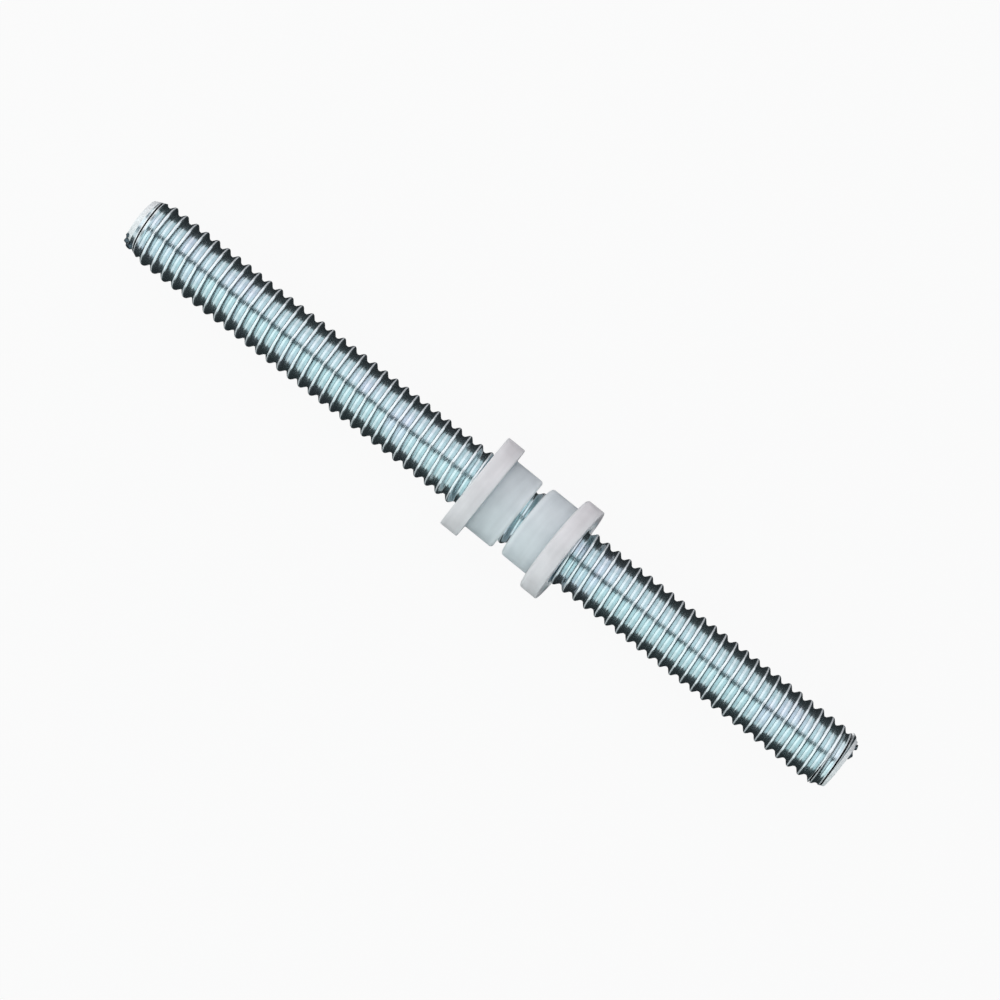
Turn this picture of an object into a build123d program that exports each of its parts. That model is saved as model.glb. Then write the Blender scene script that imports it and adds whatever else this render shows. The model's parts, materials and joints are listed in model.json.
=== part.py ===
from build123d import *
from math import atan, ceil, degrees
import os

# Through-glass handle stud: a fully threaded steel stud that lies level on the flanges of two plastic
# bushes. The bushes slide on it with their flanges outwards and their sleeves face to face. A glass
# panel sits over the sleeves, between the flanges, and a handle screws onto each end of the stud.
# X runs along the stud, +Z is up, and the origin is on the surface below the stud's middle.

# Stud: a bar with a rolled right-hand thread from end to end. The thread's start is turned about the
# bar, from straight down.
stud_length = 85.0
thread_diameter = 6.35
thread_pitch = 1.27
thread_depth = 0.45
thread_start_angle = 90.0

# Each end is bevelled from inside the thread's root out to the full thread
tip_diameter = 4.9
tip_bevel_length = 1.45

# Bushes: a flange that bears on the glass, and a sleeve that fills the hole in it
flange_diameter = 10.4
flange_thickness = 2.0
sleeve_diameter = 7.9
sleeve_length = 3.35
sleeve_end_bevel = 0.18
sliding_clearance = 0.165

# How the loose bushes lie on the stud: each sleeve droops until its bore all but touches the thread,
# and points a little to one side of straight down
sleeve_gap = 0.85
gap_centre = 3.95
least_clearance = 0.03
droop_heading = -24.0

# Each turn of the thread is made in this many arcs
arcs_per_turn = 2

# Room past both ends of the stud, and round the crests, for the shapes that it is cut from
cutting_room = 1.0

thread_radius = thread_diameter / 2
root_radius = thread_radius - thread_depth
bore_radius = thread_radius + sliding_clearance
bush_length = flange_thickness + sleeve_length
lean = degrees(atan((sliding_clearance - least_clearance) / (bush_length / 2)))


def helix_arcs(radius, start):
    """The arcs of one right-hand turn about Z, from a height upwards."""
    rise = thread_pitch / arcs_per_turn
    return [
        Rot(0, 0, 360 * arc / arcs_per_turn)
        * Edge.make_helix(thread_pitch, rise, radius, center=(0, 0, start + arc * rise))
        for arc in range(arcs_per_turn)
    ]


def ruled_faces(first_edges, second_edges):
    """A straight-ruled face between each edge and its partner."""
    pairs = zip(first_edges, second_edges)
    return [Face.make_surface_from_curves(first, second) for first, second in pairs]


def thread_turn(start):
    """Both flanks of one turn: from a root up to the crest, and down to the next root."""
    crest = helix_arcs(thread_radius, start + thread_pitch / 2)
    up = ruled_faces(helix_arcs(root_radius, start), crest)
    down = ruled_faces(crest, helix_arcs(root_radius, start + thread_pitch))
    return up + down


def thread_closure(start):
    """What closes the thread before its first turn or after its last: a ramp to the axis and a step."""
    top = start + thread_pitch
    step = Wire.make_polygon(
        [
            (0, 0, start),
            (root_radius, 0, start),
            (thread_radius, 0, start + thread_pitch / 2),
            (root_radius, 0, top),
            (0, 0, top),
        ],
        close=True,
    )
    rise = thread_pitch / arcs_per_turn
    axis_pieces = [
        Edge.make_line((0, 0, start + arc * rise), (0, 0, start + (arc + 1) * rise))
        for arc in range(arcs_per_turn)
    ]
    return [Face(step)] + ruled_faces(axis_pieces, helix_arcs(root_radius, start))


def endless_thread():
    """A threaded bar about Z that runs past both ends of the stud, sewn from the flanks of its turns."""
    turns_each_way = ceil((stud_length / 2 + cutting_room) / thread_pitch)
    bottom = -turns_each_way * thread_pitch
    faces = thread_closure(bottom) + thread_closure(-bottom)
    for turn in range(2 * turns_each_way):
        faces += thread_turn(bottom + turn * thread_pitch)
    return Solid(Shell(faces))


def revolved(outline):
    """The solid of revolution about Z of an outline given as radii and heights."""
    points = [(radius, 0, height) for radius, height in outline]
    return Solid.revolve(Face(Wire.make_polygon(points, close=True)), 360, Axis.Z)


def stud_blank():
    """What the thread is cropped to: the stud's bevelled ends, with room for the crests between them."""
    tip = stud_length / 2
    tip_radius = tip_diameter / 2
    bevel_slope = (thread_radius - tip_radius) / tip_bevel_length
    outer_radius = thread_radius + cutting_room
    upper = [
        (0, tip),
        (tip_radius, tip),
        (outer_radius, tip - (outer_radius - tip_radius) / bevel_slope),
    ]
    lower = [(radius, -height) for radius, height in reversed(upper)]
    return revolved(upper + lower)


def bush():
    """A flanged bush about Z, with its middle at the origin and its sleeve upwards."""
    flange_radius = flange_diameter / 2
    sleeve_radius = sleeve_diameter / 2
    outer_face = -bush_length / 2
    flange_face = outer_face + flange_thickness
    sleeve_end = bush_length / 2
    return revolved(
        [
            (bore_radius, outer_face),
            (flange_radius, outer_face),
            (flange_radius, flange_face),
            (sleeve_radius, flange_face),
            (sleeve_radius, sleeve_end - sleeve_end_bevel),
            (sleeve_radius - sleeve_end_bevel, sleeve_end),
            (bore_radius, sleeve_end),
        ]
    )


# A bush leans about its middle, with its sleeve towards +X and drooping
drooping_bush = Rot(droop_heading, 0, 0) * Rot(0, 90 + lean, 0) * bush()

# The stud lies as high as the rims of the leaning flanges hold it
stud_height = -drooping_bush.bounding_box().min.Z
bush_spacing = bush_length + sleeve_gap

nodes = {
    "threaded_stud": Pos(0, 0, stud_height)
    * Rot(0, 90, 0)
    * Rot(0, 0, thread_start_angle)
    * (endless_thread() & stud_blank()),
    "left_bush": Pos(gap_centre - bush_spacing / 2, 0, stud_height) * drooping_bush,
    "right_bush": Pos(gap_centre + bush_spacing / 2, 0, stud_height) * Rot(0, 0, 180) * drooping_bush,
}

os.makedirs("parts", exist_ok=True)
for name, shape in nodes.items():
    export_step(shape, f"parts/{name}.step")
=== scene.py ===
"""Looks for the through-glass handle stud: rolled thread, loose plastic bushes and saw burrs."""

import json
import math
import random

import bmesh
import bpy
from bpy.props import FloatProperty, FloatVectorProperty, IntProperty, PointerProperty
from mathutils import Matrix, Vector


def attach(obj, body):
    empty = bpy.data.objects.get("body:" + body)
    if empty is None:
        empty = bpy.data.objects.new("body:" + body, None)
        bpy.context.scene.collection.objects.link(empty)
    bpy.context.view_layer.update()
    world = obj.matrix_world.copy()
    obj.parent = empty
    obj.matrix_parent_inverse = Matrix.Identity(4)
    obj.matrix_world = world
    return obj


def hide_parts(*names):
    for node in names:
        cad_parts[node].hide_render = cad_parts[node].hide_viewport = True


bl_info = {
    "name": "Through-glass handle stud",
    "version": (1, 0, 0),
    "blender": (4, 5, 0),
    "location": "View3D > Sidebar > Handle stud",
    "description": "Rolls the stud's thread, moulds its bushes and lights them on a pale floor",
    "category": "Object",
}

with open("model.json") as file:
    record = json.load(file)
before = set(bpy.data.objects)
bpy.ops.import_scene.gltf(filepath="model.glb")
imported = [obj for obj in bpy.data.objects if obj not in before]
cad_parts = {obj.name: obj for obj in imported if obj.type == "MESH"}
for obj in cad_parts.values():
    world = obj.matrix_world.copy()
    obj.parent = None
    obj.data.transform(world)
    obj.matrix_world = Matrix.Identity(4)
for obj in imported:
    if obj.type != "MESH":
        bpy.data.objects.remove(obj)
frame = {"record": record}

MM = 0.001
MOUNTS = {mount["name"]: mount for mount in frame["record"]["mounts"]}
LEFT_END = Vector(MOUNTS["left_thread"]["pos_m"])
RIGHT_END = Vector(MOUNTS["right_thread"]["pos_m"])
AXIS_HEIGHT = LEFT_END.z
STUD_LENGTH = (RIGHT_END - LEFT_END).length
THREAD_RADIUS = MOUNTS["left_thread"]["dims"]["r_mm"] * MM
SLEEVE_RADIUS = MOUNTS["left_sleeve"]["dims"]["r_mm"] * MM
MERGE_DISTANCE = 0.001 * MM
MATHS = "ShaderNodeMath"
RAMP = "ShaderNodeMapRange"
NOISE = "ShaderNodeTexNoise"


def linear(hex_colour):
    """The linear colour that a shader takes, from an sRGB hex value."""
    channels = [int(hex_colour[start : start + 2], 16) / 255 for start in (1, 3, 5)]
    return tuple(
        value / 12.92 if value <= 0.04045 else ((value + 0.055) / 1.055) ** 2.4
        for value in channels
    )


def colour(hex_colour, name, description):
    """A colour property with its default given as an sRGB hex value."""
    return FloatVectorProperty(
        name=name,
        description=description,
        default=linear(hex_colour),
        subtype="COLOR",
        size=3,
        min=0,
        max=1,
    )


def size(millimetres, name, description):
    """A length property with its default given in millimetres."""
    return FloatProperty(
        name=name, description=description, default=millimetres * MM, unit="LENGTH", precision=5
    )


class StudSettings(bpy.types.PropertyGroup):
    pitch: size(1.27, "Pitch", "Distance from one crest to the next: 20 turns an inch")
    depth: size(0.45, "Depth", "From the rounded crests down to the rounded roots")
    flank_angle: FloatProperty(
        name="Flank angle",
        description="Between the straight part of a flank and the stud's axis",
        default=math.radians(49),
        subtype="ANGLE",
    )
    first_crest: size(0.48, "First crest", "Along the stud from its middle to a crest, at +Y")
    left_trim: size(0.3, "Left trim", "From the drawn end of the stud to the sawn one, at the left")
    right_trim: size(0.7, "Right trim", "From the drawn end of the stud to the sawn one, at the right")
    left_tip_radius: size(2.3, "Left tip radius", "Of the sawn end inside its bevel, at the left")
    right_tip_radius: size(2.7, "Right tip radius", "The same at the right")
    bevel_slope: FloatProperty(
        name="Bevel slope", description="Rise of the bevels along the stud", default=0.44, min=0.1
    )
    bevel_offset: size(0.14, "Bevel offset", "How far the bevels are off centre, towards +Y")
    seam_width: size(0.17, "Seam width", "Width of the seam that rolling leaves in the last crests")
    last_seam_shift: size(0.2, "Last seam shift", "How far the saw pressed the last seam over")
    steps: IntProperty(
        name="Steps a turn", description="Steps in which each turn is spun", default=64, min=24
    )
    metal: colour("#CFE0E3", "Metal", "Bright zinc with its bluish passivation")
    # Painted highlight: this pale colour along the crests stands for the light that the crests reflect
    lilac: colour("#D6DDE6", "Lilac patches", "Where the passivation film is thicker")
    painted_crest_highlight: colour("#F1F5F7", "Burnished crests", "Where dies and handling polished the zinc")
    # Painted shade: this dark colour stands for the shade inside the seams' grooves
    seam: colour("#10171A", "Seams", "Dirt and shade in the seams of the last crests")
    sawn: colour("#F4F6F6", "Sawn bevel", "Zinc over the coarse bevel at each end")
    torn: colour("#56636A", "Torn steel", "Bare steel where the saw tore a burr")


class BushSettings(bpy.types.PropertyGroup):
    flange_radius: size(5.2, "Flange radius", "Radius of the flange that bears on the glass")
    flange_thickness: size(2.0, "Flange thickness", "Length of the flange along the stud")
    sleeve_length: size(3.25, "Sleeve length", "Length of the sleeve beyond the flange")
    middle: size(2.675, "Middle", "From the flange's outer face to the place about which the bush leans")
    sleeve_bevel: size(0.18, "Sleeve bevel", "Bevel that leads the sleeve into the glass")
    bore_radius: size(3.34, "Bore radius", "Radius of the hole, which clears the thread")
    rim_rounding: size(0.1, "Rim rounding", "Radius that the mould leaves on the flange's rims")
    steps: IntProperty(
        name="Steps a turn", description="Steps in which the wall is spun", default=128, min=24
    )
    plastic: colour("#DEDBDC", "Plastic", "Natural nylon, undyed")
    thin_wall: colour("#D6DEE2", "Thin wall", "The sleeve, where the steel behind it shows faintly")


class StageSettings(bpy.types.PropertyGroup):
    floor: colour("#B4B4B4", "Floor", "Matt paper, before its glow")
    softbox: FloatProperty(
        name="Softboxes",
        description="Radiance of the long softboxes' upper halves",
        default=1.25,
        min=0,
    )
    lower_share: FloatProperty(
        name="Lower share",
        description="Radiance of the lower halves against the upper",
        default=0.8,
        min=0,
    )
    end_light: FloatProperty(
        name="End light",
        description="Radiance of the softbox past the left end",
        default=1.2,
        min=0,
    )
    glow: FloatProperty(
        name="Glow",
        description="Share of the paper's white that shadows leave alone",
        default=0.93,
        min=0,
        max=1,
    )
    card: colour("#10171A", "Cards", "Black card beside the stud")
    surround: colour("#34444A", "Surround", "The flags, and what the room beyond the lamps sheds")
    backdrop: colour("#FAFBFB", "Backdrop", "What the camera sees behind the floor")
    camera_height: size(313.0, "Camera height", "From the stud's axis up to the lens")
    field: size(94.65, "Field", "Width of the picture where the stud lies")


def shape_object(name, bm, smooth_angle=40.0):
    """A new mesh object at the origin with the bmesh's shape and its sharp edges kept crisp."""
    mesh = bpy.data.meshes.new(name)
    bm.to_mesh(mesh)
    bm.free()
    mesh.shade_smooth()
    mesh.set_sharp_from_angle(angle=math.radians(smooth_angle))
    piece = bpy.data.objects.new(name, mesh)
    bpy.context.scene.collection.objects.link(piece)
    return piece


def add_node(tree, kind, inputs=None, output=0, **settings):
    """Adds a shader node, sets its properties, sets or links its inputs, and gives an output."""
    node = tree.nodes.new(kind)
    for name, value in settings.items():
        setattr(node, name, value)
    for name, value in (inputs or {}).items():
        if isinstance(value, bpy.types.NodeSocket):
            tree.links.new(value, node.inputs[name])
        else:
            node.inputs[name].default_value = value
    return node.outputs[output]


def new_material(name):
    """An empty material with an output node, as the material, its tree and the surface input."""
    material = bpy.data.materials.new(name)
    material.use_nodes = True
    tree = material.node_tree
    tree.nodes.clear()
    return material, tree, tree.nodes.new("ShaderNodeOutputMaterial").inputs["Surface"]


def rolled_zinc(stud):
    """Zinc-plated steel, thread-rolled."""
    # Rolling presses the steel smooth, so the flanks mirror the room softly, with faint lines that run
    # round the thread. The blue passivation film drifts between cyan and lilac, a painted highlight runs
    # paler along a narrow helical land on the crests, and the sawn bevels are coarse and dull.
    material, tree, surface = new_material("zinc_plated_rolled_steel")
    place = add_node(tree, "ShaderNodeTexCoord", output="Object")
    centred = add_node(
        tree, "ShaderNodeMapping", {"Vector": place, "Location": (0, 0, -AXIS_HEIGHT)}
    )
    along, across, up = add_node(tree, "ShaderNodeSeparateXYZ", {"Vector": centred}).node.outputs

    # How far a point is from the helix of the painted highlight on the crests, which runs a little to
    # their left and follows the last seam where the saw pressed it over
    highlight_lead = 0.03
    pressed_from = 40.75 * MM
    angle = add_node(tree, MATHS, {0: up, 1: across}, operation="ARCTAN2")
    start = highlight_lead - stud.first_crest / stud.pitch
    turns = add_node(tree, MATHS, {0: along, 1: 1 / stud.pitch, 2: start}, operation="MULTIPLY_ADD")
    helix = add_node(tree, MATHS, {0: angle, 1: -0.5 / math.pi, 2: turns}, operation="MULTIPLY_ADD")
    pressed = add_node(tree, MATHS, {0: along, 1: pressed_from}, operation="GREATER_THAN")
    shift = stud.last_seam_shift / stud.pitch
    moved = add_node(tree, MATHS, {0: pressed, 1: shift, 2: helix}, operation="MULTIPLY_ADD")
    nearest = add_node(tree, MATHS, {0: moved, 1: 0.5}, operation="PINGPONG")
    from_crest = add_node(tree, MATHS, {0: nearest, 1: stud.pitch}, operation="MULTIPLY")

    # The painted highlight on the crests is broader past the first seam at each end
    right_seams = add_node(tree, MATHS, {0: along, 1: 40.2 * MM}, operation="GREATER_THAN")
    left_seams = add_node(tree, MATHS, {0: along, 1: -40.6 * MM}, operation="LESS_THAN")
    seamed = add_node(tree, MATHS, {0: left_seams, 1: right_seams}, operation="ADD")
    highlight_land = 0.07 * MM
    broader = 0.12 * MM
    edge = 0.03 * MM
    highlight_width = add_node(tree, MATHS, {0: seamed, 1: broader, 2: highlight_land}, operation="MULTIPLY_ADD")
    past_highlight = add_node(tree, MATHS, {0: from_crest, 1: highlight_width}, operation="SUBTRACT")
    crest_highlight_mask = add_node(
        tree,
        RAMP,
        {"Value": past_highlight, "From Min": edge, "From Max": -edge},
        interpolation_type="SMOOTHSTEP",
    )

    # The seams' dark cores are painted shade in their grooves, and stop short of the sawn end faces
    threaded_reach = 41.72 * MM
    on_thread = add_node(tree, MATHS, {0: along, 1: 0.0, 2: threaded_reach}, operation="COMPARE")
    seam_shade_core = add_node(
        tree,
        RAMP,
        {"Value": from_crest, "From Min": 0.1 * MM, "From Max": 0.06 * MM},
        interpolation_type="SMOOTHSTEP",
    )
    shaded_seam_reach = add_node(tree, MATHS, {0: seamed, 1: on_thread}, operation="MULTIPLY")
    seam = add_node(tree, MATHS, {0: shaded_seam_reach, 1: seam_shade_core}, operation="MULTIPLY")

    # Each bevel's band, from where it starts to show to where it is full
    left_end = LEFT_END.x + stud.left_trim
    right_end = RIGHT_END.x - stud.right_trim
    left_bevel, right_bevel = (
        add_node(
            tree,
            RAMP,
            {"Value": along, "From Min": start, "From Max": full},
            interpolation_type="SMOOTHSTEP",
        )
        for start, full in (
            (left_end + 0.62 * MM, left_end + 0.56 * MM),
            (right_end - 0.42 * MM, right_end - 0.37 * MM),
        )
    )
    bevels = add_node(tree, MATHS, {0: left_bevel, 1: right_bevel}, operation="ADD")
    unseamed = add_node(tree, MATHS, {0: 1.0, 1: seam}, operation="SUBTRACT")
    bevel = add_node(tree, MATHS, {0: bevels, 1: unseamed}, operation="MULTIPLY")

    # Patches of thicker film are about 4 mm across
    film_patch = 4 * MM
    film = add_node(tree, NOISE, {"Vector": centred, "Scale": 1 / film_patch, "Detail": 3})
    thick = add_node(
        tree,
        RAMP,
        {"Value": film, "From Min": 0.48, "From Max": 0.75},
        interpolation_type="SMOOTHSTEP",
    )
    # Die lines are a few hundredths of a millimetre apart, drawn at 0.06 mm so that they show
    line_spacing = 0.06 * MM
    round_about = add_node(
        tree, "ShaderNodeMapping", {"Vector": centred, "Scale": (1, 0.08, 0.08)}
    )
    lines = add_node(
        tree, NOISE, {"Vector": round_about, "Scale": 1 / line_spacing, "Detail": 2}
    )
    # The plate's grain is a few micrometres, drawn at 0.12 mm so that it shows
    grain_size = 0.12 * MM
    grain = add_node(tree, NOISE, {"Vector": centred, "Scale": 1 / grain_size, "Detail": 4})
    # The saw's teeth leave marks of about a quarter of a millimetre
    tooth_mark = 0.25 * MM
    teeth = add_node(tree, NOISE, {"Vector": centred, "Scale": 1 / tooth_mark, "Detail": 3})
    speckle = add_node(
        tree,
        RAMP,
        {"Value": teeth, "From Min": 0.35, "From Max": 0.6, "To Min": 0.84, "To Max": 1.0},
        interpolation_type="SMOOTHSTEP",
    )
    sawn = add_node(
        tree, "ShaderNodeVectorMath", {0: (*stud.sawn,), "Scale": speckle}, operation="SCALE"
    )
    finish = (*stud.metal, 1)
    layers = (
        (thick, (*stud.lilac, 1)),
        (crest_highlight_mask, (*stud.painted_crest_highlight, 1)),
        (seam, (*stud.seam, 1)),
        (bevel, sawn),
    )
    for share, layer in layers:
        finish = add_node(
            tree, "ShaderNodeMix", {0: share, 6: finish, 7: layer}, output=2, data_type="RGBA"
        )

    coarser = add_node(tree, MATHS, {0: bevel, 1: 4.0, 2: 1.0}, operation="MULTIPLY_ADD")
    relief = add_node(tree, MATHS, {0: grain, 1: coarser, 2: lines}, operation="MULTIPLY_ADD")
    bump = add_node(
        tree, "ShaderNodeBump", {"Height": relief, "Strength": 0.35, "Distance": 0.004 * MM}
    )
    plated = add_node(
        tree,
        RAMP,
        {"Value": grain, "From Min": 0.3, "From Max": 0.7, "To Min": 0.17, "To Max": 0.27},
        interpolation_type="SMOOTHSTEP",
    )
    roughness = add_node(tree, MATHS, {0: bevel, 1: 0.2, 2: plated}, operation="MULTIPLY_ADD")
    # Sawing scatters the light and the crests carry a painted highlight, so both are made partly matt
    # and look paler than bare metal
    highlight_and_sawn = [
        add_node(tree, MATHS, {0: share, 1: strength}, operation="MULTIPLY")
        for share, strength in ((crest_highlight_mask, 0.6), (bevel, 0.95))
    ]
    matt = add_node(tree, MATHS, {0: highlight_and_sawn[0], 1: highlight_and_sawn[1]}, operation="MAXIMUM")
    metallic = add_node(tree, MATHS, {0: 1.0, 1: matt}, operation="SUBTRACT")
    shader = add_node(
        tree,
        "ShaderNodeBsdfPrincipled",
        {"Base Color": finish, "Metallic": metallic, "Roughness": roughness, "Normal": bump},
    )
    tree.links.new(shader, surface)
    return material


def torn_steel(stud):
    """Steel torn by a saw, with hardly any zinc on it."""
    # The zinc hardly takes on a torn burr, so it shows the steel's own dark grey, rough as it broke
    material, tree, surface = new_material("torn_burr_steel")
    shader = add_node(
        tree,
        "ShaderNodeBsdfPrincipled",
        {"Base Color": (*stud.torn, 1), "Metallic": 1.0, "Roughness": 0.45},
    )
    tree.links.new(shader, surface)
    return material


def natural_nylon(bush):
    """Natural nylon, injection moulded."""
    # Undyed nylon is milky: light goes a little way in, so the thin sleeve looks cooler and darker than
    # the solid flange. The mould leaves a satin skin with a faint waviness and lines along the sleeve.
    material, tree, surface = new_material("natural_moulded_nylon")
    own = add_node(tree, "ShaderNodeAttribute", output="Vector", attribute_name="own_place")
    across = add_node(
        tree, "ShaderNodeVectorMath", {0: own, 1: (1, 1, 0)}, operation="MULTIPLY"
    )
    radius = add_node(
        tree, "ShaderNodeVectorMath", {0: across}, output="Value", operation="LENGTH"
    )
    solid = add_node(
        tree,
        RAMP,
        {
            "Value": radius,
            "From Min": SLEEVE_RADIUS + 0.05 * MM,
            "From Max": SLEEVE_RADIUS + 0.5 * MM,
        },
        interpolation_type="SMOOTHSTEP",
    )
    body = add_node(
        tree,
        "ShaderNodeMix",
        {0: solid, 6: (*bush.thin_wall, 1), 7: (*bush.plastic, 1)},
        output=2,
        data_type="RGBA",
    )
    # The melt's flow leaves clouds of about 1.8 mm
    cloud_size = 1.8 * MM
    cloud = add_node(tree, NOISE, {"Vector": own, "Scale": 1 / cloud_size, "Detail": 3})
    # The thread behind the thin wall shows as faint bands round the sleeve, two to a turn
    band_spacing = 0.6 * MM
    around = add_node(tree, "ShaderNodeMapping", {"Vector": own, "Scale": (0.12, 0.12, 1)})
    bands = add_node(tree, NOISE, {"Vector": around, "Scale": 1 / band_spacing, "Detail": 1})
    mottle = add_node(tree, MATHS, {0: cloud, 1: bands}, operation="ADD")
    level = add_node(
        tree,
        RAMP,
        {"Value": mottle, "From Min": 0.6, "From Max": 1.4, "To Min": 0.88, "To Max": 1.06},
    )
    # The sleeve's free end is brighter, because light enters its end face too
    lip_start, lip_full, lip_strength = 1.95 * MM, 2.4 * MM, 0.16
    height = add_node(tree, "ShaderNodeSeparateXYZ", {"Vector": own}, output="Z")
    lip = add_node(
        tree,
        RAMP,
        {"Value": height, "From Min": lip_start, "From Max": lip_full, "To Max": lip_strength},
        interpolation_type="SMOOTHSTEP",
    )
    shade = add_node(tree, MATHS, {0: level, 1: lip}, operation="ADD")
    clouded = add_node(
        tree, "ShaderNodeVectorMath", {0: body, "Scale": shade}, operation="SCALE"
    )
    # Draw lines from the mould's core run along the sleeve
    streak_spacing = 0.35 * MM
    lengthways = add_node(tree, "ShaderNodeMapping", {"Vector": own, "Scale": (1, 1, 0.08)})
    streaks = add_node(
        tree, NOISE, {"Vector": lengthways, "Scale": 1 / streak_spacing, "Detail": 2}
    )
    bump = add_node(
        tree, "ShaderNodeBump", {"Height": streaks, "Strength": 0.25, "Distance": 0.02 * MM}
    )
    roughness = add_node(tree, RAMP, {"Value": cloud, "To Min": 0.34, "To Max": 0.46})
    shader = add_node(
        tree,
        "ShaderNodeBsdfPrincipled",
        {
            "Base Color": clouded,
            "Roughness": roughness,
            "IOR": 1.53,
            "Subsurface Weight": 1.0,
            "Subsurface Radius": (1.0, 1.0, 1.0),
            "Subsurface Scale": 1.8 * MM,
            "Normal": bump,
        },
        subsurface_method="RANDOM_WALK",
    )
    tree.links.new(shader, surface)
    return material


def lathe(bm, outline, steps, close):
    """Spins an outline of (radius, height) pairs right round Z."""
    verts = [bm.verts.new((radius, 0, height)) for radius, height in outline]
    pairs = list(zip(verts, verts[1:])) + ([(verts[-1], verts[0])] if close else [])
    edges = [bm.edges.new(pair) for pair in pairs]
    bmesh.ops.spin(
        bm,
        geom=verts + edges,
        cent=(0, 0, 0),
        axis=(0, 0, 1),
        angle=2 * math.pi,
        steps=steps,
        use_merge=True,
    )
    bmesh.ops.remove_doubles(bm, verts=bm.verts, dist=MERGE_DISTANCE)
    bmesh.ops.recalc_face_normals(bm, faces=bm.faces)


def threaded_bar(stud):
    """A thread about X that runs a turn past both ends, with rounded crests and roots."""
    bm = bmesh.new()
    sharp_depth = stud.pitch / 2 * math.tan(stud.flank_angle)
    rounding_loss = (sharp_depth - stud.depth) / 2
    rounding = rounding_loss / (1 / math.cos(stud.flank_angle) - 1)
    sharp_crest = THREAD_RADIUS + rounding_loss
    sharp_root = THREAD_RADIUS - stud.depth - rounding_loss
    turns_each_way = math.ceil(STUD_LENGTH / 2 / stud.pitch) + 1
    chain = []
    for half_turn in range(-2 * turns_each_way, 2 * turns_each_way + 1):
        radius = sharp_crest if half_turn % 2 else sharp_root
        place = stud.first_crest + (half_turn - 1) * stud.pitch / 2
        chain.append(bm.verts.new((place, radius, 0)))
    edges = [bm.edges.new(pair) for pair in zip(chain, chain[1:])]
    bmesh.ops.spin(
        bm,
        geom=chain + edges,
        cent=(0, 0, 0),
        axis=(1, 0, 0),
        dvec=(stud.pitch / stud.steps, 0, 0),
        angle=2 * math.pi,
        steps=stud.steps,
        use_merge=False,
    )
    bmesh.ops.remove_doubles(bm, verts=bm.verts, dist=MERGE_DISTANCE)
    # Both flanks meet along the helical crest and root, which are the only creased edges
    least_crease = math.radians(30)
    creases = [
        edge
        for edge in bm.edges
        if len(edge.link_faces) == 2 and edge.calc_face_angle(0) > least_crease
    ]
    bmesh.ops.bevel(
        bm,
        geom=creases,
        offset=rounding * math.tan(stud.flank_angle),
        offset_type="OFFSET",
        segments=5,
        profile=0.5,
        affect="EDGES",
        material=-1,
    )
    return bm


def close_ends(bm):
    """Draws each open end to a point on the axis past the stud's end, where the blank cuts it off."""
    reach = STUD_LENGTH / 2 + 2 * MM
    for side in (-1, 1):
        rim = [edge for edge in bm.edges if edge.is_boundary and edge.verts[0].co.x * side > 0]
        made = bmesh.ops.extrude_edge_only(bm, edges=rim)["geom"]
        tips = [item for item in made if isinstance(item, bmesh.types.BMVert)]
        bmesh.ops.pointmerge(bm, verts=tips, merge_co=(side * reach, 0, 0))
    bmesh.ops.recalc_face_normals(bm, faces=bm.faces)


def bevelled_blank(stud):
    """The bar that the thread is cropped to, with a bevel at each end that runs a little off centre."""
    bm = bmesh.new()
    room = THREAD_RADIUS + 1 * MM
    left = LEFT_END.x + stud.left_trim
    right = RIGHT_END.x - stud.right_trim
    outline = [
        (0, left),
        (stud.left_tip_radius, left),
        (room, left + (room - stud.left_tip_radius) / stud.bevel_slope),
        (room, right - (room - stud.right_tip_radius) / stud.bevel_slope),
        (stud.right_tip_radius, right),
        (0, right),
    ]
    lathe(bm, outline, steps=96, close=False)
    bmesh.ops.rotate(bm, verts=bm.verts, matrix=Matrix.Rotation(math.pi / 2, 3, "Y"))
    bmesh.ops.translate(bm, verts=bm.verts, vec=(0, stud.bevel_offset, 0))
    bmesh.ops.recalc_face_normals(bm, faces=bm.faces)
    return bm


def crest_seams(stud):
    """Wedges that follow the crest near both ends, where rolling leaves its two folds apart."""
    whole = bmesh.new()
    # First and last place on the crest, depth below the thread's radius, and shift from the crest
    seams = [
        (-41.55 * MM, -40.62 * MM, 0.72 * MM, 0),
        (40.25 * MM, 40.9 * MM, 0.25 * MM, 0),
        (41.02 * MM, 42.1 * MM, 0.6 * MM, -stud.last_seam_shift),
    ]
    # The wedge opens above the crest, where it is wider than the seam it leaves at the crest
    top = THREAD_RADIUS + 0.2 * MM
    half_width = 0.8 * stud.seam_width
    for first, last, depth, shift in seams:
        bm = bmesh.new()
        middle = first + shift
        section = [
            (middle - half_width, top),
            (middle + half_width, top),
            (middle, THREAD_RADIUS - depth),
        ]
        verts = [bm.verts.new((place, radius, 0)) for place, radius in section]
        edges = [bm.edges.new(pair) for pair in zip(verts, verts[1:] + verts[:1])]
        start_angle = 2 * math.pi * (first - stud.first_crest) / stud.pitch
        bmesh.ops.rotate(bm, verts=verts, matrix=Matrix.Rotation(start_angle, 3, "X"))
        turns = (last - first) / stud.pitch
        steps = round(turns * stud.steps)
        bmesh.ops.spin(
            bm,
            geom=verts + edges,
            cent=(0, 0, 0),
            axis=(1, 0, 0),
            dvec=((last - first) / steps, 0, 0),
            angle=2 * math.pi * turns,
            steps=steps,
            use_merge=False,
        )
        open_edges = [edge for edge in bm.edges if edge.is_boundary]
        bmesh.ops.holes_fill(bm, edges=open_edges, sides=3)
        bmesh.ops.recalc_face_normals(bm, faces=bm.faces)
        part = bpy.data.meshes.new("seam")
        bm.to_mesh(part)
        bm.free()
        whole.from_mesh(part)
        bpy.data.meshes.remove(part)
    return whole


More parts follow.
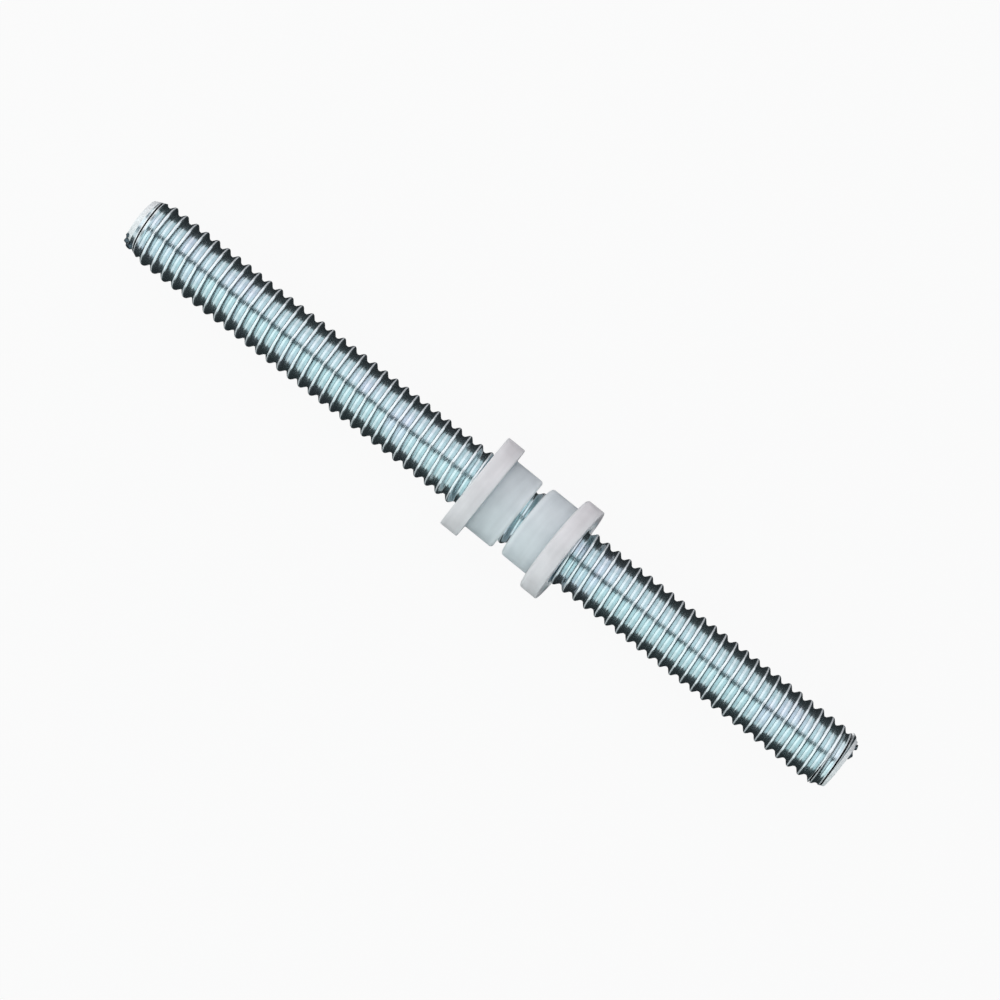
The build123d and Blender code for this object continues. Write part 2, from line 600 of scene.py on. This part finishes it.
class RollThread(bpy.types.Operator):
    """Roll the stud's thread from end to end and bevel its sawn ends"""

    bl_idname = "handle_stud.roll_thread"
    bl_label = "Roll thread"

    def execute(self, context):
        stud = context.scene.handle_stud
        bar = threaded_bar(stud)
        close_ends(bar)
        piece = shape_object("rolled_stud", bar)
        cutters = {
            "DIFFERENCE": shape_object("seams", crest_seams(stud)),
            "INTERSECT": shape_object("blank", bevelled_blank(stud)),
        }
        for operation, cutter in cutters.items():
            crop = piece.modifiers.new(cutter.name, "BOOLEAN")
            crop.operation = operation
            crop.solver = "EXACT"
            crop.object = cutter
        context.view_layer.update()
        cropped = bpy.data.meshes.new_from_object(
            piece.evaluated_get(context.evaluated_depsgraph_get())
        )
        piece.modifiers.clear()
        old = piece.data
        piece.data = cropped
        bpy.data.meshes.remove(old)
        for cutter in cutters.values():
            bpy.data.objects.remove(cutter)
        cropped.name = "rolled_stud"
        cropped.transform(Matrix.Translation((0, 0, AXIS_HEIGHT)))
        cropped.shade_smooth()
        cropped.set_sharp_from_angle(angle=math.radians(32))
        fewest_faces = 1000
        if len(cropped.polygons) < fewest_faces:
            raise RuntimeError("The crop left no thread")
        piece.data.materials.clear()
        piece.data.materials.append(rolled_zinc(stud))
        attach(piece, "stud")
        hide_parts("threaded_stud")
        return {"FINISHED"}


class TearBurrs(bpy.types.Operator):
    """Tear the small burrs that the saw leaves on the rims of the ends"""

    bl_idname = "handle_stud.tear_burrs"
    bl_label = "Tear burrs"

    def execute(self, context):
        stud = context.scene.handle_stud
        left = LEFT_END.x + stud.left_trim
        right = RIGHT_END.x - stud.right_trim
        # Place along the stud and radius, angle in degrees about X from +Y, and size along the stud,
        # round it and outwards, with all lengths in millimetres
        lumps = [
            (left / MM + 0.16, 2.3, 140, (0.4, 0.7, 0.4)),
            (left / MM + 0.34, 2.42, 155, (0.62, 0.7, 0.5)),
            (left / MM + 0.8, 2.62, 162, (0.9, 0.7, 0.46)),
            (right / MM + 0.05, 2.6, 33, (0.5, 0.95, 0.54)),
            (right / MM - 0.02, 2.52, 47, (0.16, 0.7, 0.16)),
            (right / MM + 0.05, 2.5, 60, (0.48, 0.9, 0.46)),
        ]
        chance = random.Random(7)
        # How far each corner of a lump is pulled in or out, as a share of its size
        least, most = 0.62, 1.15
        whole = bmesh.new()
        for place, radius, angle, (length, breadth, height) in lumps:
            made = bmesh.ops.create_icosphere(whole, subdivisions=2, radius=0.5)["verts"]
            for vert in made:
                vert.co *= chance.uniform(least, most)
            bmesh.ops.scale(whole, verts=made, vec=Vector((length, height, breadth)) * MM)
            bmesh.ops.translate(whole, verts=made, vec=Vector((place, radius, 0)) * MM)
            turn = Matrix.Rotation(math.radians(angle), 3, "X")
            bmesh.ops.rotate(whole, verts=made, cent=(0, 0, 0), matrix=turn)
        bmesh.ops.recalc_face_normals(whole, faces=whole.faces)
        bmesh.ops.translate(whole, verts=whole.verts, vec=(0, 0, AXIS_HEIGHT))
        piece = shape_object("saw_burrs", whole, smooth_angle=15.0)
        piece.data.materials.append(torn_steel(stud))
        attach(piece, "stud")
        return {"FINISHED"}


def bush_wall(bush, inner_rim_rounding):
    """A flanged bush about Z with its middle at the origin, its sleeve upwards and its rims rounded."""
    bm = bmesh.new()
    outer_face = -bush.middle
    flange_face = outer_face + bush.flange_thickness
    end = flange_face + bush.sleeve_length
    lathe(
        bm,
        [
            (bush.bore_radius, outer_face),
            (bush.flange_radius, outer_face),
            (bush.flange_radius, flange_face),
            (SLEEVE_RADIUS, flange_face),
            (SLEEVE_RADIUS, end - bush.sleeve_bevel),
            (SLEEVE_RADIUS - bush.sleeve_bevel, end),
            (bush.bore_radius, end),
        ],
        bush.steps,
        close=True,
    )

    near = 0.01 * MM

    def ring(radius, height):
        """The edges of the ring at a radius and height."""
        return [
            edge
            for edge in bm.edges
            if all(
                abs(math.hypot(vert.co.x, vert.co.y) - radius) < near
                and abs(vert.co.z - height) < near
                for vert in edge.verts
            )
        ]

    # Radius and height of each ring, and its rounding
    roundings = [
        (bush.flange_radius, outer_face, bush.rim_rounding),
        (bush.flange_radius, flange_face, inner_rim_rounding),
        (SLEEVE_RADIUS, flange_face, 0.15 * MM),
        (SLEEVE_RADIUS, end - bush.sleeve_bevel, 0.12 * MM),
        (SLEEVE_RADIUS - bush.sleeve_bevel, end, 0.08 * MM),
        (bush.bore_radius, end, 0.06 * MM),
        (bush.bore_radius, outer_face, 0.1 * MM),
    ]
    for radius, height, rounding in roundings:
        bmesh.ops.bevel(
            bm,
            geom=ring(radius, height),
            offset=rounding,
            offset_type="OFFSET",
            segments=4,
            profile=0.5,
            affect="EDGES",
            material=-1,
        )
    bmesh.ops.remove_doubles(bm, verts=bm.verts, dist=MERGE_DISTANCE)
    bmesh.ops.recalc_face_normals(bm, faces=bm.faces)
    own = bm.verts.layers.float_vector.new("own_place")
    for vert in bm.verts:
        vert[own] = vert.co
    return bm


class MouldBushes(bpy.types.Operator):
    """Mould both flanged bushes where they lean on the stud"""

    bl_idname = "handle_stud.mould_bushes"
    bl_label = "Mould bushes"

    def execute(self, context):
        bush = context.scene.handle_stud_bush
        nylon = natural_nylon(bush)
        # The right flange's inner rim is rounder than the left one's
        for side, inner_rim_rounding in (("left", 0.12 * MM), ("right", 0.3 * MM)):
            sleeve = MOUNTS[f"{side}_sleeve"]
            axis = Vector(sleeve["axis"])
            to_middle = (bush.flange_thickness - bush.sleeve_bevel) / 2
            middle = Vector(sleeve["pos_m"]) - axis * to_middle
            bm = bush_wall(bush, inner_rim_rounding)
            turn = Vector((0, 0, 1)).rotation_difference(axis).to_matrix().to_4x4()
            bmesh.ops.transform(bm, matrix=Matrix.Translation(middle) @ turn, verts=bm.verts)
            piece = shape_object(f"{side}_flanged_bush", bm)
            piece.data.materials.append(nylon)
            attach(piece, f"{side}_bush")
            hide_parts(f"{side}_bush")
        return {"FINISHED"}


def flat_sheet(name, width, length, place, material):
    """A flat rectangle of the stage, centred on place."""
    bm = bmesh.new()
    bmesh.ops.create_grid(bm, x_segments=1, y_segments=1, size=0.5)
    bmesh.ops.scale(bm, vec=(width, length, 1), verts=bm.verts)
    bmesh.ops.translate(bm, vec=place, verts=bm.verts)
    sheet = shape_object(name, bm)
    sheet.data.materials.append(material)
    return sheet


def reflected_only(card):
    """Leaves a card of the stage to reflections alone."""
    card.visible_camera = False
    card.visible_diffuse = False
    card.visible_shadow = False
    card.visible_transmission = False


def softbox(name, centre, facing, width, height, radiance, housing, tint=(1, 1, 1)):
    """A softbox whose face shows the given radiance, with a dark housing behind it."""
    lamp = bpy.data.lights.new(name, "AREA")
    lamp.shape = "RECTANGLE"
    lamp.size = width
    lamp.size_y = height
    lamp.energy = radiance * math.pi * width * height
    lamp.color = tint
    holder = bpy.data.objects.new(name, lamp)
    bpy.context.scene.collection.objects.link(holder)
    across = Vector((1, 0, 0)) if abs(facing.x) < 0.7 else Vector((0, 1, 0))
    up = (-facing).cross(across).normalized()
    across = up.cross(-facing)
    turn = Matrix((across, up, -facing)).transposed().to_4x4()
    holder.matrix_world = Matrix.Translation(centre) @ turn
    housing_depth = 4 * MM
    back = flat_sheet(name + "_housing", width, height, (0, 0, 0), housing)
    back.data.transform(Matrix.Translation(centre - facing * housing_depth) @ turn)
    reflected_only(back)


def seen_share(tree):
    """1 for rays that show a surface to the camera, straight, by reflection or through glass, or 0."""
    path = add_node(tree, "ShaderNodeLightPath").node.outputs
    seen = path["Is Camera Ray"]
    for kind in ("Is Glossy Ray", "Is Transmission Ray"):
        seen = add_node(tree, MATHS, {0: seen, 1: path[kind]}, operation="MAXIMUM")
    return seen


def lay_floor(stage):
    """A sheet of matt paper, which shows as white and keeps a faint shadow."""
    paper, tree, surface = new_material("matt_paper")
    shader = add_node(
        tree,
        "ShaderNodeBsdfPrincipled",
        {"Base Color": (*stage.floor, 1), "Roughness": 0.9, "Specular IOR Level": 0.2},
    )
    share = add_node(tree, MATHS, {0: seen_share(tree), 1: stage.glow}, operation="MULTIPLY")
    white = add_node(tree, "ShaderNodeEmission", {"Color": (1, 1, 1, 1), "Strength": 1.0})
    mixed = add_node(tree, "ShaderNodeMixShader", {0: share, 1: shader, 2: white})
    tree.links.new(mixed, surface)
    floor_side = 4.0
    flat_sheet("floor", floor_side, floor_side, (0, 0, 0), paper)


def lay_cards(stage):
    """Black cards along both sides of the stud, which draw its edges in its reflections."""
    black, tree, surface = new_material("black_card")
    shader = add_node(
        tree, "ShaderNodeBsdfPrincipled", {"Base Color": (*stage.card, 1), "Roughness": 0.8}
    )
    tree.links.new(shader, surface)
    length, width = 0.30, 0.16
    from_axis = 3.6 * MM
    thickness = 0.2 * MM
    for side, name in ((-1, "card_front"), (1, "card_back")):
        centre = (0.05, side * (width / 2 + from_axis), thickness)
        reflected_only(flat_sheet(name, length, width, centre, black))


def hang_flags(stage):
    """Dark flags over the stud and past its ends, which shade its middle line and far flanks teal."""
    flag, tree, surface = new_material("dark_flag")
    shade = add_node(tree, "ShaderNodeEmission", {"Color": (*stage.surround, 1), "Strength": 1.0})
    tree.links.new(shade, surface)
    reflected_only(flat_sheet("flag_above", 1.4, 0.16, (0, 0, 0.42), flag))
    height, width, middle = 0.6, 1.0, 0.28
    for name, place in (("flag_right", 0.42), ("flag_left", -0.72)):
        upright = flat_sheet(name, height, width, (0, 0, 0), flag)
        turn = Matrix.Rotation(math.pi / 2, 4, "Y")
        upright.data.transform(Matrix.Translation((place, 0, middle)) @ turn)
        reflected_only(upright)
    return flag


def hang_softboxes(stage, housing):
    """Long softboxes that slope from near the lens down to the table, and a light past the left end."""
    # The stud then shows two broad bright bands with a narrow dark line between them. Distance to the
    # side and height of the softboxes' edges, from the top down:
    edges = ((0.060, 0.400), (0.250, 0.201), (0.435, 0.003))
    shares = (1.0, stage.lower_share)
    length, place = 0.76, -0.07
    for side, name, tint in ((1, "back", (1.0, 0.97, 1.0)), (-1, "front", (0.93, 1.0, 1.0))):
        for part, (top, bottom, share) in enumerate(zip(edges, edges[1:], shares)):
            upper = Vector((place, side * top[0], top[1]))
            lower = Vector((place, side * bottom[0], bottom[1]))
            slope = lower - upper
            softbox(
                f"softbox_{name}_{part + 1}",
                (upper + lower) / 2,
                slope.cross(Vector((side, 0, 0))).normalized(),
                length,
                slope.length,
                stage.softbox * share,
                housing,
                tint,
            )
    end_side = 0.30
    centre = Vector((-0.45, 0, 0.30))
    facing = (Vector((0, 0, AXIS_HEIGHT)) - centre).normalized()
    softbox("end_light", centre, facing, end_side, end_side, stage.end_light, housing)


def paint_world(stage):
    """The room: dim as light on the object, and pale wherever it shows."""
    world = bpy.data.worlds.new("studio")
    world.use_nodes = True
    tree = world.node_tree
    room = add_node(
        tree,
        "ShaderNodeMix",
        {0: seen_share(tree), 6: (*stage.surround, 1), 7: (*stage.backdrop, 1)},
        output=2,
        data_type="RGBA",
    )
    tree.links.new(room, tree.nodes["Background"].inputs["Color"])
    return world


def aim_camera(stage):
    """The camera looks almost straight down on the stud, which runs down to the right."""
    camera = bpy.data.cameras.new("camera")
    holder = bpy.data.objects.new("camera", camera)
    bpy.context.scene.collection.objects.link(holder)
    place = Vector((17.2 * MM, 0, AXIS_HEIGHT + stage.camera_height))
    target = Vector((1.23 * MM, 0.06 * MM, AXIS_HEIGHT))
    stud_in_picture = Vector((0.7903, 0.6127, 0))
    back = (place - target).normalized()
    right = (stud_in_picture - back * stud_in_picture.dot(back)).normalized()
    up = back.cross(right)
    turn = Matrix((right, up, back)).transposed().to_4x4()
    holder.matrix_world = Matrix.Translation(place) @ turn
    camera.sensor_width = 36
    camera.angle = 2 * math.atan(stage.field / 2 / (place - target).length)
    camera.clip_start = 0.01
    return holder


class LightStage(bpy.types.Operator):
    """Lay the pale floor, set up the softboxes and cards, and aim the camera"""

    bl_idname = "handle_stud.light_stage"
    bl_label = "Light stage"

    def execute(self, context):
        stage = context.scene.handle_stud_stage
        lay_floor(stage)
        lay_cards(stage)
        hang_softboxes(stage, hang_flags(stage))
        context.scene.world = paint_world(stage)
        context.scene.camera = aim_camera(stage)
        context.scene.view_settings.view_transform = "Standard"
        return {"FINISHED"}


class HandleStudPanel(bpy.types.Panel):
    """The pieces of the handle stud, in the order in which they are made"""

    bl_idname = "VIEW3D_PT_handle_stud"
    bl_label = "Handle stud"
    bl_space_type = "VIEW_3D"
    bl_region_type = "UI"
    bl_category = "Handle stud"

    def draw(self, context):
        for operator in OPERATORS:
            self.layout.operator(operator.bl_idname)


OPERATORS = (RollThread, TearBurrs, MouldBushes, LightStage)
SETTINGS = {
    "handle_stud": StudSettings,
    "handle_stud_bush": BushSettings,
    "handle_stud_stage": StageSettings,
}


def register():
    for settings in SETTINGS.values():
        bpy.utils.register_class(settings)
    for name, settings in SETTINGS.items():
        setattr(bpy.types.Scene, name, PointerProperty(type=settings))
    for operator in OPERATORS:
        bpy.utils.register_class(operator)
    bpy.utils.register_class(HandleStudPanel)


def unregister():
    bpy.utils.unregister_class(HandleStudPanel)
    for operator in reversed(OPERATORS):
        bpy.utils.unregister_class(operator)
    for name in SETTINGS:
        delattr(bpy.types.Scene, name)
    for settings in reversed(list(SETTINGS.values())):
        bpy.utils.unregister_class(settings)


def main():
    """Makes every piece and the stage."""
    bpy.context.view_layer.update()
    register()
    bpy.ops.handle_stud.light_stage()
    bpy.ops.handle_stud.roll_thread()
    bpy.ops.handle_stud.tear_burrs()
    bpy.ops.handle_stud.mould_bushes()


if __name__ == "__main__":
    main()
